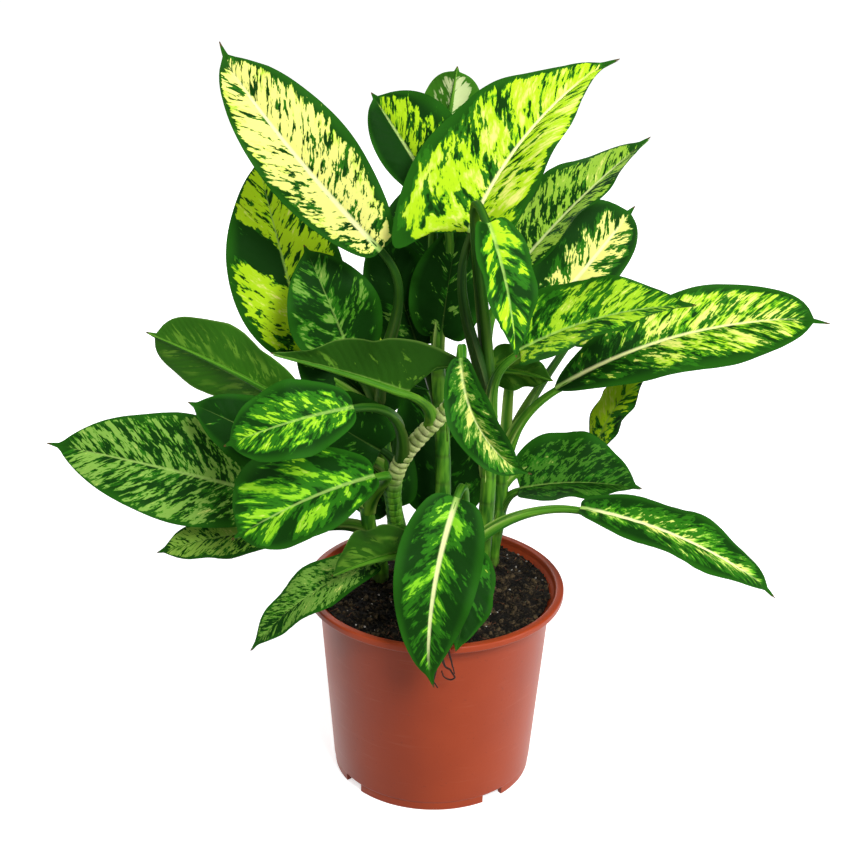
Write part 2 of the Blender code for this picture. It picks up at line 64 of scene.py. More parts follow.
class Net:
    def __init__(self, tree, material=None):
        self.tree = tree
        self.material = material

    def feed(self, socket, value):
        if isinstance(value, Wire):
            self.tree.links.new(value.socket, socket)
        elif socket.type == "VECTOR" and isinstance(value, (int, float)):
            socket.default_value = (value, value, value)
        elif socket.type == "RGBA" and len(value) == 3:
            socket.default_value = (*value, 1)
        else:
            socket.default_value = value

    def add(self, kind, settings=None, sockets=None, output=0):
        node = self.tree.nodes.new(kind)
        for name, value in (settings or {}).items():
            setattr(node, name, value)
        for name, value in (sockets or {}).items():
            self.feed(node.inputs[name], value)
        return Wire(self, node.outputs[output])

    def geo(self, kind, sockets=None, output=0):
        return self.add("GeometryNode" + kind, {}, sockets, output)

    def sum(self, operation, *parts):
        kinds = [part.socket.type if isinstance(part, Wire) else type(part) for part in parts]
        work = self.vector if "VECTOR" in kinds or tuple in kinds else self.number
        return work(operation, *parts)

    def number(self, operation, *parts):
        return self.add("ShaderNodeMath", {"operation": operation}, dict(enumerate(parts)))

    def vector(self, operation, *parts, output=0):
        settings = {"operation": operation}
        return self.add("ShaderNodeVectorMath", settings, dict(enumerate(parts)), output)

    def unit(self, a):
        return self.vector("NORMALIZE", a)

    def dot(self, a, b):
        return self.vector("DOT_PRODUCT", a, b, output=1)

    def split(self, a):
        # the three numbers of a vector
        node = self.add("ShaderNodeSeparateXYZ", {}, {0: a}).socket.node
        return [Wire(self, socket) for socket in node.outputs]

    def pack(self, x, y, z):
        return self.add("ShaderNodeCombineXYZ", {}, {0: x, 1: y, 2: z})

    def mix(self, share, a, b):
        return self.add("ShaderNodeMix", {"data_type": "RGBA"}, {"Factor": share, 6: a, 7: b}, 2)

    def step(self, value, low, high):
        # 0 at low, 1 at high, smooth between
        settings = {"interpolation_type": "SMOOTHSTEP"}
        return self.add("ShaderNodeMapRange", settings, {"Value": value, 1: low, 2: high})

    def noise(self, place, scale, detail=2.0, roughness=0.5, distortion=0.0):
        sockets = {"Vector": place, "Scale": scale, "Detail": detail, "Roughness": roughness,
                   "Distortion": distortion}
        return self.add("ShaderNodeTexNoise", {}, sockets)

    def here(self):
        # a material's place on the object, in metres
        return self.add("ShaderNodeTexCoord", output=3)

    def read(self, name):
        # in a material, three numbers that the tree kept on the mesh
        return self.split(self.add("ShaderNodeAttribute", {"attribute_name": name}, output=1))

    def join(self, *shapes):
        node = self.tree.nodes.new("GeometryNodeJoinGeometry")
        for shape in shapes:
            self.tree.links.new(shape.socket, node.inputs[0])
        return Wire(self, node.outputs[0])

    def keep(self, shape, name, value, kind="FLOAT_VECTOR", domain="POINT"):
        settings = {"data_type": kind, "domain": domain}
        sockets = {"Geometry": shape, "Name": name, "Value": value}
        return self.add("GeometryNodeStoreNamedAttribute", settings, sockets)

    def mark(self, shape, number):
        # a whole number on every face, so that dress can pick these faces
        return self.keep(shape, "skin", number, "INT", "FACE")

    def move(self, shape, **where):
        return self.geo("SetPosition", {"Geometry": shape, **where})

    def dress(self, shape, *materials):
        # the tree's last nodes: real faces, then a material for each mark
        shape = self.geo("SetShadeSmooth", {"Geometry": shape})
        shape = self.geo("RealizeInstances", {"Geometry": shape})
        for number, material in enumerate(materials):
            found = self.add("GeometryNodeInputNamedAttribute", {"data_type": "INT"}, {"Name": "skin"})
            chosen = self.number("COMPARE", found, number, 0.1)
            sockets = {"Geometry": shape, "Selection": chosen, "Material": material}
            shape = self.geo("SetMaterial", sockets)
        leave = self.tree.nodes.new("NodeGroupOutput")
        self.tree.links.new(shape.socket, leave.inputs[0])


def newMaterial(name, roughness=0.5, specular=0.5):
    material = bpy.data.materials.new(name)
    material.use_nodes = True
    shader = material.node_tree.nodes["Principled BSDF"]
    shader.inputs["Roughness"].default_value = roughness
    shader.inputs["Specular IOR Level"].default_value = specular
    return Net(material.node_tree, material), shader


def coat(net, shader, colour, height, strength, depth):
    # the colour and the fine relief, which nearly every material ends with
    sockets = {"Strength": strength, "Distance": depth, "Height": height}
    net.feed(shader.inputs["Base Color"], colour)
    net.feed(shader.inputs["Normal"], net.add("ShaderNodeBump", {}, sockets))
    return net.material


def newTree(name, numbers, vectors=(), whole=()):
    tree = bpy.data.node_groups.new(name, "GeometryNodeTree")
    tree.interface.new_socket("Geometry", in_out="INPUT", socket_type="NodeSocketGeometry")
    tree.interface.new_socket("Geometry", in_out="OUTPUT", socket_type="NodeSocketGeometry")
    kinds = {"NodeSocketVector": vectors, "NodeSocketFloat": numbers, "NodeSocketInt": whole}
    for kind, labels in kinds.items():
        for label in labels:
            tree.interface.new_socket(label, in_out="INPUT", socket_type=kind)
    net = Net(tree)
    entry = tree.nodes.new("NodeGroupInput")
    return tree, net, {s.name: Wire(net, s) for s in entry.outputs if s.name}


def grown(name, tree, values, start=None):
    # runs a geometry tree on a new object and keeps the result as a plain mesh, smooth but at creases
    seedling = bpy.data.objects.new(name, start or bpy.data.meshes.new(name))
    bpy.context.scene.collection.objects.link(seedling)
    modifier = seedling.modifiers.new("grow", "NODES")
    modifier.node_group = tree
    for item in tree.interface.items_tree:
        if item.in_out == "INPUT" and item.name in values:
            modifier[item.identifier] = values[item.name]
    graph = bpy.context.evaluated_depsgraph_get()
    mesh = bpy.data.meshes.new_from_object(seedling.evaluated_get(graph))
    bpy.data.objects.remove(seedling)
    mesh.set_sharp_from_angle(angle=creaseAngle)
    piece = bpy.data.objects.new(name, mesh)
    bpy.context.scene.collection.objects.link(piece)
    return piece


def place(piece, slot, *nodes):
    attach(piece, "root")
    if nodes:
        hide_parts(*nodes)


# skins of the leaves, stalks and canes; paleFrom and paleTo are centimetres above the soil
leafColours = {
    "cream": (0.93, 0.92, 0.24), "lime": (0.50, 0.80, 0.014),
    # paleGreen, dimGreen and underDim are the greens for a low tone: partly a duller leaf green, partly
    # painted shade
    "paleGreen": (0.24, 0.46, 0.07), "dimGreen": (0.05, 0.19, 0.014),
    "green": (0.085, 0.37, 0.009), "fresh": (0.19, 0.60, 0.022),
    "mid": (0.026, 0.17, 0.007), "dark": (0.006, 0.044, 0.003),
    "ribCream": (0.94, 0.96, 0.46), "ribGreen": (0.36, 0.60, 0.12),
    "tip": (0.10, 0.06, 0.02), "under": (0.04, 0.17, 0.008),
    "underDim": (0.016, 0.07, 0.004), "underPale": (0.14, 0.34, 0.025),
    "underCream": (0.62, 0.72, 0.34), "underRib": (0.26, 0.48, 0.08),
}
leafFinish = {
    "upperSpecular": 0.04, "upperRoughness": 0.48, "underSpecular": 0.06, "underRoughness": 0.55,
    "veinRidges": 13.0, "relief": 0.0006, "upperBump": 0.3, "underBump": 0.22,
    "ribAtHeel": 0.07, "ribTaper": 0.13, "ribLeast": 0.015, "brownFrom": 0.975, "brownTo": 0.99,
}
stalkFinish = {
    "dark": (0.022, 0.14, 0.006), "light": (0.12, 0.34, 0.02), "patch": (0.26, 0.48, 0.04),
    "wing": (0.45, 0.62, 0.14), "shaded": (0.006, 0.035, 0.003), "roughness": 0.45, "specular": 0.08,
}
caneFinish = {
    "dark": (0.02, 0.12, 0.006), "light": (0.13, 0.36, 0.02), "paleDark": (0.30, 0.46, 0.08),
    "paleLight": (0.72, 0.80, 0.32), "lowBrown": (0.05, 0.04, 0.015), "scar": (0.06, 0.08, 0.02),
    "paleFrom": 8.4, "paleTo": 10.2, "roughness": 0.5, "specular": 0.12,
}


def leafPattern(net):
    # place holds (side, along, size), grain (out, vein, seed), look (bar, cream, mid), cast (tone with
    # painted shade, rib)
    side, along, size = net.read("place")
    across, vein, seed = net.read("grain")
    bar, cream, mid = net.read("look")
    tone, rib = net.read("cast")[:2]
    out = abs(across)
    seed = seed + net.number("SIGN", across) * 3.7
    streak = net.noise(net.pack(vein * size * 2.2, out * size * 1.05, seed), 1.0, 4.0, 0.55, 0.5)
    fleck = net.noise(net.pack(vein * size * 6.0, out * size * 3.2, seed + 11), 1.0, 2.0, 0.5, 0.4)
    cloud = net.noise(net.pack(vein * 1.1, out * 0.8, seed + 37), 1.0, 1.0, 0.5, 0.2)
    return {
        "edge": abs(side), "along": along, "out": out, "vein": vein,
        "above": streak * 0.72 + fleck * 0.28 - bar, "cloud": cloud, "fleck": fleck,
        "cream": cream, "mid": mid, "tone": tone, "rib": rib,
    }


def brownTip(net, at, colour):
    share = net.step(at["along"], leafFinish["brownFrom"], leafFinish["brownTo"])
    return net.mix(share, colour, leafColours["tip"])


def leafUpper():
    finish, paint = leafFinish, leafColours
    net, shader = newMaterial("bladeUpperSide", specular=finish["upperSpecular"])
    at = leafPattern(net)
    above, cloud, tone, mid = at["above"], at["cloud"], at["tone"], at["mid"]
    # from dark through mid green and bright green to lime, then cream where the leaf has any
    rim = net.number("MAXIMUM", net.step(at["edge"], 0.7, 0.97), net.step(at["along"], 0.84, 0.97))
    halo = net.step(above + (cloud - 0.5) * 0.4 + (mid - 0.5) * 0.1, -0.09, 0.0)
    deep = net.mix(net.number("MAXIMUM", halo, rim * 0.5), paint["dark"], paint["mid"])
    # a low tone darkens the light parts towards dimGreen: partly the leaf's own duller green, partly
    # painted shade
    dim = net.mix(net.step(tone, 0.0, 0.5), paint["dimGreen"], paint["paleGreen"])
    lime = net.mix(net.step(mid, 0.75, 1.15), paint["lime"], paint["fresh"])
    lime = net.mix(net.step(tone, 0.45, 0.85), dim, lime)
    bright = above + (cloud - 0.5) * 0.22 + (tone - 0.6) * 0.06 - (mid - 0.5) * 0.08
    bright = net.step(bright, -0.012, 0.045)
    light = net.mix(bright, net.mix(tone, paint["dimGreen"], paint["green"]), lime)
    warm = at["cream"] + (cloud - 0.5) * 1.3 + (at["fleck"] - 0.5) * 0.5 + above * 2.2 - 0.15
    light = net.mix(net.step(warm, 0.2, 0.8), light, paint["cream"])
    colour = net.mix(net.step(above, -0.012, 0.016), deep, light)
    # the midrib narrows towards the tip and is paler on creamy leaves
    ribWidth = finish["ribAtHeel"] + (at["rib"] - at["along"]) * finish["ribTaper"]
    ribWidth = net.number("MAXIMUM", ribWidth, finish["ribLeast"])
    rib = net.step(at["out"], ribWidth * 1.3, ribWidth * 0.4) * net.step(at["along"], 0.93, 0.7)
    pale = net.step(at["cream"] + at["rib"], 0.65, 1.1) * net.step(at["along"], 0.0, 0.12)
    colour = net.mix(rib * at["rib"], colour, net.mix(pale, paint["ribGreen"], paint["ribCream"]))
    fine = net.noise(net.here(), 260.0, 2.0)
    net.feed(shader.inputs["Roughness"], finish["upperRoughness"] + fine * 0.16)
    ridges = net.number("SINE", at["vein"] * finish["veinRidges"]) * net.step(at["edge"], 1.0, 0.6)
    height = ridges * 0.12 + fine * 0.4 + bright * 0.12 - rib
    colour = brownTip(net, at, colour)
    return coat(net, shader, colour, height, finish["upperBump"], finish["relief"])


def leafUnder():
    finish, paint = leafFinish, leafColours
    net, shader = newMaterial("bladeUnderside", finish["underRoughness"], finish["underSpecular"])
    at = leafPattern(net)
    light = net.step(at["above"], -0.03, 0.03) * net.step(at["edge"], 0.95, 0.5)
    # a low tone darkens the underside towards underDim: partly its own green, partly painted shade
    colour = net.mix(at["tone"], paint["underDim"], paint["under"])
    colour = net.mix(light * net.step(at["cloud"], 0.4, 0.6), colour, paint["underPale"])
    colour = net.mix(light * at["cream"], colour, paint["underCream"])
    rib = net.step(at["out"], 0.24 - at["along"] * 0.16, 0.05)
    pale = net.number("MAXIMUM", rib, net.step(at["edge"], 0.94, 1.0) * 0.6)
    colour = brownTip(net, at, net.mix(pale * at["rib"], colour, paint["underRib"]))
    height = net.number("SINE", at["vein"] * finish["veinRidges"]) * 0.4 + at["fleck"]
    return coat(net, shader, colour, height, finish["underBump"], finish["relief"])


def stalkSkin():
    # streaked lengthways, with pale sheath edges low down
    # place holds (turn, way, tone with painted shade), grain (wing, way, seed)
    finish = stalkFinish
    net, shader = newMaterial("stalkSkin", finish["roughness"], finish["specular"])
    turn, way, tone = net.read("place")
    wing, _, seed = net.read("grain")
    streak = net.noise(net.pack(turn * 9, way * 2.5, seed), 1.0, 3.0)
    patch = net.noise(net.pack(turn * 2, way * 5, seed + 5), 1.0, 2.0)
    colour = net.mix(net.step(streak, 0.35, 0.7), finish["dark"], finish["light"])
    colour = net.mix(net.step(patch, 0.5, 0.75) * 0.5, colour, finish["patch"])
    # the tone mixes the stalk towards the shaded colour: painted shade on stalks deep inside the plant
    colour = net.mix(tone, finish["shaded"], net.mix(wing * 0.8, colour, finish["wing"]))
    return coat(net, shader, colour, streak, 0.3, 0.0005)


def caneSkin():
    # grain holds (scar, height above the soil, paleness)
    finish = caneFinish
    net, shader = newMaterial("caneSkin", finish["roughness"], finish["specular"])
    scar, height, pale = net.read("grain")
    pale = pale * net.step(height, finish["paleFrom"], finish["paleTo"])
    here = net.here()
    mottle = net.noise(here, 180.0, 3.0)
    streak = net.noise(net.vector("MULTIPLY", here, (260.0, 260.0, 40.0)), 1.0, 2.0)
    green = net.mix(net.step(streak, 0.35, 0.7), finish["dark"], finish["light"])
    cream = net.mix(net.step(mottle, 0.3, 0.65), finish["paleDark"], finish["paleLight"])
    colour = net.mix(pale, green, cream)
    # darker brown over the lowest 1.2 cm of cane above the soil
    colour = net.mix(net.step(height, 1.2, 0.0) * 0.7, colour, finish["lowBrown"])
    colour = net.mix(scar * (0.25 + pale * 0.4), colour, finish["scar"])
    return coat(net, shader, colour, mottle * 0.4 + streak * 0.3 - scar, 0.4, 0.0006)


# shoots and leaves stand where the solids do; places and sizes are in centimetres
shoots = {
    "left": {"foot": (-3.6, 0.6), "lean": ((-4.2, 0.2, 16.5), (-4.6, -0.4, 19.5))},
    "ringed": {"foot": (-1.6, -1.0),
               "lean": ((-2.6, -1.6, 18.5), (-2.4, -2.4, 23.0), (0.8, -3.2, 27.5))},
    "back_left": {"foot": (-2.2, 3.6), "lean": ((-3.2, 3.4, 19.0), (-4.0, 3.2, 25.0))},
    "centre": {"foot": (0.4, 2.4), "lean": ((0.4, 3.0, 21.0), (-0.2, 3.4, 29.0))},
    "tall": {"foot": (3.0, 0.0), "lean": ((3.3, 0.0, 20.0), (3.3, -0.3, 26.0))},
    "right": {"foot": (3.8, 3.2), "lean": ((4.2, 3.2, 17.0), (4.4, 3.0, 22.0))},
    "front": {"foot": (1.4, -2.8), "lean": ((1.5, -3.0, 15.5), (1.6, -3.4, 17.5))},
}


# rise, sway, wave, lobe and hook in centimetres, fold in degrees; the shoulder is where it is widest
# cream, dark, blotch, margin, feather and base: how much of each a blade has, 0 for none
# size: 1 for common streaks, more for finer ones; tilt: darkens the right half or, below 0, the left
# tone: how bright the light parts are, partly the leaf's own green and partly painted light and shade;
# mid: how green they are, with a wider mid green round them
# rib: how pale the midrib is; stalk: 1 for a stalk in the open, 0 for one in deep shade
# band: a dark one on the side given, 1 or -1, from vein to vein in centimetres
commonLeaf = dict(
    rise=0.6, sway=0.0, fold=15, wave=0.2, skew=0.0, lobe=0.8, hook=0.0, shoulder=0.4,
    cream=0.0, dark=0.5, blotch=0.3, margin=0.1, size=1.0, feather=0.0, base=0.0, tilt=0.0,
    tone=0.8, mid=0.5, rib=0.7, stalk=1.0, band=(0, 0, 0))


def leaf(shoot, at, heel, tip, face, width, **own):
    # at is the part of the cane where its stalk leaves, from 0 at the soil to 1 at the top
    stand = dict(shoot=shoot, at=at, heel=heel, tip=tip, face=face, width=width)
    return {**commonLeaf, **stand, **own}


leaves = {
    "topLeft": leaf("back_left", 1.0, (-3.7, 0.5, 36), (-13.8, 3, 47.8), (0.1, -1, 0.4), 5.9,
        rise=0.4, sway=-0.4, skew=0.15, hook=0.4, shoulder=0.48, cream=0.95, dark=0.36,
        blotch=0.25, margin=0.13, size=1.15, tilt=-0.1, tone=1, mid=0.4, rib=1, stalk=0.25),
    "topRight": leaf("tall", 0.95, (1.6, -2, 38), (10.1, 3, 47.6), (-0.6, -0.65, 0.6), 9.6,
        rise=0.8, sway=-0.7, fold=30, skew=-0.05, lobe=5.2, hook=0.5, shoulder=0.26, cream=0.3,
        dark=0.34, blotch=0.4, margin=0.08, size=0.9, tilt=-0.5, tone=1, mid=0.6, rib=1,
        stalk=0.15),
    "crownBack": leaf("centre", 1.0, (-0.1, 6, 40), (0.8, 7, 46), (0.2, 1, 0.1), 4, rise=0.3,
        fold=25, shoulder=0.6, cream=1.0, dark=0.35, margin=0.3, size=0.8, tone=1, rib=0.3),
    "crownLeft": leaf("centre", 0.95, (-0.4, 3.5, 38.8), (-4.5, 5, 44.7), (0.1, -1, 0.2), 5.4,
        rise=0.4, fold=25, skew=0.3, shoulder=0.5, dark=0.42, blotch=0.2, margin=0.22, size=1.2,
        tone=0.9, rib=0.8, band=(-1, -9, 9)),
    "upperRight": leaf("tall", 0.85, (4, 1.5, 33.7), (13, 6, 42), (-0.6, -0.35, 0.75), 5.8,
        rise=0.5, fold=20, wave=0.3, skew=-0.3, dark=0.42, size=1.4, tone=0.62, mid=0.3, rib=0.9),
    "midRight": leaf("right", 1.0, (6, 3.5, 30), (12.3, 6, 37.5), (0.2, -0.8, 0.4), 5.8,
        skew=-0.3, shoulder=0.6, cream=1.0, blotch=0.1, margin=0.25, size=1.1, feather=0.9,
        tone=0.9, mid=0.9, rib=1),
    "farRight": leaf("right", 0.9, (7.5, 2, 26.5), (24.7, 3, 31.2), (-0.2, -0.6, 0.75), 6.7,
        rise=0.4, sway=-1.3, fold=30, skew=0.18, lobe=0.3, hook=0.4, shoulder=0.6, cream=0.45,
        dark=0.46, blotch=0.25, margin=0.16, size=1.1, base=0.7, tone=1, mid=0.85, rib=0.9),
    "frontRight": leaf("tall", 0.9, (4.8, -3, 31), (15, -4.5, 34.6), (-0.2, -0.3, 0.9), 6.8,
        rise=0.2, sway=-0.9, fold=26, lobe=1.6, shoulder=0.28, dark=0.42, blotch=0.5, margin=0.08,
        size=1.2, tone=0.75, mid=0.85, rib=0.7),
    "hanging": leaf("tall", 1.0, (2.6, -5.8, 39.8), (4.3, -8.9, 32.8), (0.5, -0.9, 0.2), 3.6,
        rise=0.4, sway=-0.1, fold=25, dark=0.6, blotch=0.8, margin=0.14, size=0.85, tone=0.85,
        mid=0.85, stalk=0.4),
    "tucked": leaf("tall", 0.6, (3.3, 1.4, 28.2), (7.2, 0.6, 27.6), (0.1, 1, 0.3), 3.8, rise=0.3,
        lobe=0.3, shoulder=0.3, dark=0.35, blotch=0.5, tone=1, mid=0.4),
    "frontCentre": leaf("ringed", 1.0, (1.2, -7, 32), (5.1, -9.5, 25.6), (-0.2, -1, 0.2), 3.1,
        sway=0.9, fold=35, lobe=0.4, hook=-0.4, shoulder=0.5, cream=0.35, dark=0.46, blotch=0.1,
        margin=0.15, size=1.5, feather=0.7, tone=0.5, mid=1.0, rib=0.6),
    "foldedLeft": leaf("ringed", 0.9, (-1.8, -4, 28.6), (-10, -5.5, 31.5), (0.1, 0.7, 0.8), 7.5,
        rise=0.2, fold=38, lobe=4.5, shoulder=0.16, dark=0.85, tone=0.3, rib=0.8),
    "backTurned": leaf("back_left", 0.8, (-8, 0.5, 25), (-18.7, 2.5, 29.7), (-0.1, 0.9, 0.3), 5.6,
        rise=0.5, shoulder=0.64, dark=0.55, tone=0.9, rib=0.7),
    "frontLeft": leaf("ringed", 0.7, (-5, -7.5, 29), (-12.5, -9, 27), (-0.1, -0.7, 0.7), 5,
        lobe=0.4, shoulder=0.5, dark=0.56, blotch=0.2, margin=0.24, size=1.3, tone=0.8, mid=0.95,
        rib=0.6, stalk=0.3),
    "lowerLeft": leaf("left", 0.9, (-3.8, -5.4, 23.6), (-12.2, -9, 20.9), (-0.1, -0.6, 0.8), 6.9,
        rise=0.8, skew=0.2, shoulder=0.58, dark=0.6, blotch=0.9, margin=0.1, size=0.85,
        feather=0.3, tone=0.9, mid=1.0),
    "farLeft": leaf("left", 1.0, (-10.5, -1, 20), (-25.2, 1, 22.5), (0.1, -0.75, 0.6), 7.2,
        skew=0.05, dark=0.52, blotch=0.25, margin=0.05, size=1.3, base=0.1, tone=0.46, mid=0.3,
        rib=0.7),
    "darkLeft": leaf("back_left", 0.6, (-8.5, -1.2, 22.8), (-15.7, -0.8, 26.3), (0.1, -0.7, 0.5),
        4.6, cream=0.2, dark=1.1, mid=0.1, tone=0.3, rib=0.3),
    "lowLeft": leaf("left", 0.6, (-10, -2, 18), (-18, -1.5, 16), (0, -0.5, 0.8), 3.6, dark=0.36,
        size=1.9, tone=0.55, mid=0.3, rib=0.4, stalk=0.3),
    "overRim": leaf("left", 0.4, (-3.8, -4, 17), (-11.6, -6.2, 11.6), (-0.1, -0.3, 0.9), 3.8,
        rise=1.1, dark=0.46, size=2.2, tone=0.3, mid=0.2, rib=0.3, stalk=0.5),
    "youngLeft": leaf("ringed", 0.3, (-1.6, -6.2, 19), (-6.4, -7, 17.5), (0.1, 0.75, 0.6), 5,
        rise=0.3, fold=30, tone=0.6, rib=0.5),
    "frontDrop": leaf("front", 1.0, (1.2, -7, 23), (-0.3, -10.7, 12), (0, -0.95, 0.3), 5.2,
        rise=0.9, sway=0.6, lobe=0.5, hook=-0.3, shoulder=0.37, dark=0.8, blotch=0.6, margin=0.15,
        size=1.1, feather=0.7, tone=0.85, mid=1.05, rib=1),
    "behindDrop": leaf("front", 0.6, (2.2, -5.5, 18.5), (1.3, -9.2, 13.6), (0.3, -0.9, 0.4), 3.4,
        rise=0.5, cream=0.2, dark=1.1, mid=0.5, rib=0.2),
    "lowRight": leaf("front", 0.9, (9, -3, 20.5), (21.4, -5, 15.7), (0.3, -0.2, 0.9), 5.5, rise=1,
        hook=0.5, shoulder=0.5, cream=0.45, dark=0.6, blotch=0.35, margin=0.15, size=1.1,
        feather=0.7, tone=0.85, mid=1.15, rib=1),
    "shelfRight": leaf("right", 0.5, (5.5, 2.8, 19), (13.5, 2, 19.5), (0, -0.35, 0.9), 7.2,
        rise=0.3, sway=-0.3, fold=38, dark=0.58, blotch=0.2, size=1.8, tone=0.04, mid=0.2,
        rib=0.4, stalk=0.5),
    "edgeRight": leaf("right", 0.75, (10.9, 6.5, 21), (14, 7, 25.8), (-0.6, -0.5, 0.5), 3,
        dark=0.35, margin=0.03, size=0.8, tilt=1.0, tone=1, mid=0.75, rib=0.4),
    "bigBackLeft": leaf("back_left", 0.9, (-8.5, 4, 28), (-12, 8, 40), (0, -0.95, 0.3), 7.5,
        dark=0.34, blotch=0.4, size=1.1, tone=1.0, band=(-1, 4.5, 6.7), rib=0.6),
    "midLeft": leaf("back_left", 0.95, (-5.6, 2, 28.5), (-8.6, 3, 35.5), (0.2, -0.95, 0.2), 6,
        dark=0.62, blotch=0.5, tone=0.35, rib=0.4, stalk=0.2),
    # midCentre, shadowLeft, backHigh, innerLeft, innerLow, backFoot and backLow lie deep inside the
    # plant: their high dark share, low tone, rib and stalk values paint the shade they lie in
    "midCentre": leaf("centre", 0.6, (0.1, 3.2, 29.5), (1.1, 4.2, 37), (-0.1, -0.9, 0.2), 4.8,
        dark=0.9, blotch=0.6, tone=0.4, mid=0.2, rib=0.1, stalk=0.1),
    "shadowLeft": leaf("back_left", 0.4, (-3.6, -0.4, 23), (-9, -1, 27), (-0.2, -0.9, 0.3), 5.4,
        dark=1.0, tone=0.1, mid=0.1, rib=0.1, stalk=0.1),
    "backHigh": leaf("centre", 0.8, (0, 7, 29), (-1.5, 11.5, 38), (0.1, -0.8, 0.5), 8.5, rise=1,
        dark=0.8, tone=0.4, stalk=0.1),
    "innerLeft": leaf("centre", 0.7, (-1.4, 4, 28.5), (-4.2, 5, 36.5), (0.1, -0.9, 0.2), 4.8,
        rise=0.4, dark=0.95, tone=0.3, mid=0.1, rib=0.1, stalk=0.1),
    "innerLow": leaf("back_left", 0.5, (-3.4, 3.8, 23.5), (-9.5, 4.8, 29.5), (0.1, -0.9, 0.3),
        5.6, rise=0.4, dark=1.0, tone=0.1, mid=0.1, rib=0.1, stalk=0.1),
    "backFoot": leaf("back_left", 0.2, (-2.8, 4.8, 16.3), (-7, 8.8, 22.5), (0, -0.75, 0.6), 5.6,
        rise=1, dark=0.95, tone=0.2, mid=0.2, rib=0.2, stalk=0.3),
    "backLeft": leaf("back_left", 0.7, (-5, 8.5, 26), (-11, 18, 26), (0, 0.1, 1), 7.5, rise=1.2,
        cream=0.2, dark=0.4, blotch=0.4, stalk=0.5),
    "backRight": leaf("right", 0.85, (8.5, 8, 27.3), (14.5, 14, 28.5), (0, 0.1, 1), 7, rise=1.2,
        cream=0.2, dark=0.45, blotch=0.4, stalk=0.5),
    "backLow": leaf("centre", 0.2, (0.6, 6, 15.6), (0.2, 12, 25.4), (0, -0.75, 0.6), 7.2, rise=1,
        dark=0.95, tone=0.2, mid=0.2, rib=0.2, stalk=0.5),
}


leafForm = {
    "fullness": 1.25, "hookStart": 0.82, "dripStart": 0.94, "dripWidth": 0.2 * cm, "dripEnd": 0.15,
    "lobeStart": 0.09, "lobeEnd": 0.35, "edgeCurl": 18, "waves": 2.5, "ripple": 0.35 * cm,
    "thickness": 0.09 * cm, "quilt": 0.012 * cm, "quiltBeat": 7, "channel": 0.05 * cm,
    "columns": 25, "rows": 64, "rowsToHeel": 1.15, "weld": 0.002 * cm,
}
# the stalk and the rib under the blade are one skin; its share is the part of the rows on the stalk
stalkForm = {
    "foot": 0.42 * cm, "head": 0.24 * cm, "sink": 0.6 * cm, "ribEnd": 0.02 * cm, "ribSink": 0.075 * cm,
    "wing": 0.4, "channel": 0.3, "share": 0.55, "sides": 17, "rows": 72,
}
cane = {
    "radius": 0.6 * cm, "taper": 0.25, "soilEdge": 12.95, "rootDepth": 5.0, "upright": 1.2, "steps": 4,
    "ringed": {"spacing": 0.48 * cm, "height": 0.06 * cm, "pale": 1.0},
    "smooth": {"spacing": 1.9 * cm, "height": 0.012 * cm, "pale": 0.0},
    "swellFrom": 13.4 * cm, "swellTo": 15.2 * cm, "buried": 0.35, "dome": 0.5 * cm,
    "row": 0.05 * cm, "sides": 20,
}


def canePath(shoot):
    # straight up through the soil, then a smooth lean through the shoot's points
    foot, edge, steps = shoot["foot"], cane["soilEdge"], cane["steps"]
    knots = [Vector((*foot, edge - cane["rootDepth"])), Vector((*foot, edge + cane["upright"]))]
    knots += [Vector(p) for p in shoot["lean"]]
    ends = [knots[1] - Vector((0, 0, 2))] + knots[1:] + [2 * knots[-1] - knots[-2]]
    path = [knots[0]]
    for a, b, c, d in zip(ends, ends[1:], ends[2:], ends[3:]):
        for t in [k / steps for k in range(steps)]:
            bend = t * (c - a) + t * t * (2 * a - 5 * b + 4 * c - d) + t**3 * (3 * b - a - 3 * c + d)
            path.append(b + bend / 2)
    path.append(knots[-1])
    return [p * cm for p in path]


def jointOn(path, part):
    # the point and direction at a part, 0 to 1, of the cane above the soil
    last = len(path) - 1
    spot = 1 + part * (last - 1)
    k = min(int(spot), last - 1)
    return path[k].lerp(path[k + 1], spot - k), (path[k + 1] - path[max(k - 1, 0)]).normalized()


def midribAt(net, given, s):
    # the midrib's point and direction at s, with the blade's right and upward directions there
    hookStart = leafForm["hookStart"]
    chord = given["Tip"] - given["Heel"]
    ahead = net.unit(chord)
    up = net.unit(given["Face"] - ahead * net.dot(given["Face"], ahead))
    right = net.vector("CROSS_PRODUCT", ahead, up)
    bow = up * given["Rise"] + right * given["Sway"]
    hook = right * given["Hook"]
    bent = net.number("MAXIMUM", s - hookStart, 0.0) / (1 - hookStart)
    point = given["Heel"] + chord * s + bow * (s * (1 - s) * 4) + hook * (bent * bent)
    along = net.unit(chord + bow * (4 - s * 8) + hook * (bent * (2 / (1 - hookStart))))
    up = net.unit(up - along * net.dot(up, along))
    return point, along, net.vector("CROSS_PRODUCT", along, up), up


def halfWidth(net, given, s):
    form = leafForm
    x = net.number("MINIMUM", s / form["dripStart"], 1.0)
    low, high = given["Shoulder"], 1 - given["Shoulder"]
    swell = (x / low) ** (low * form["fullness"]) * ((1 - x) / high) ** (high * form["fullness"])
    taper = net.number("MINIMUM", (1 - s) / (1 - form["dripStart"]), 1.0)
    drip = form["dripWidth"] * (form["dripEnd"] + (1 - form["dripEnd"]) * taper)
    blade = given["Width"] * 0.5 * swell
    return net.number("SQRT", blade * blade + drip * drip)


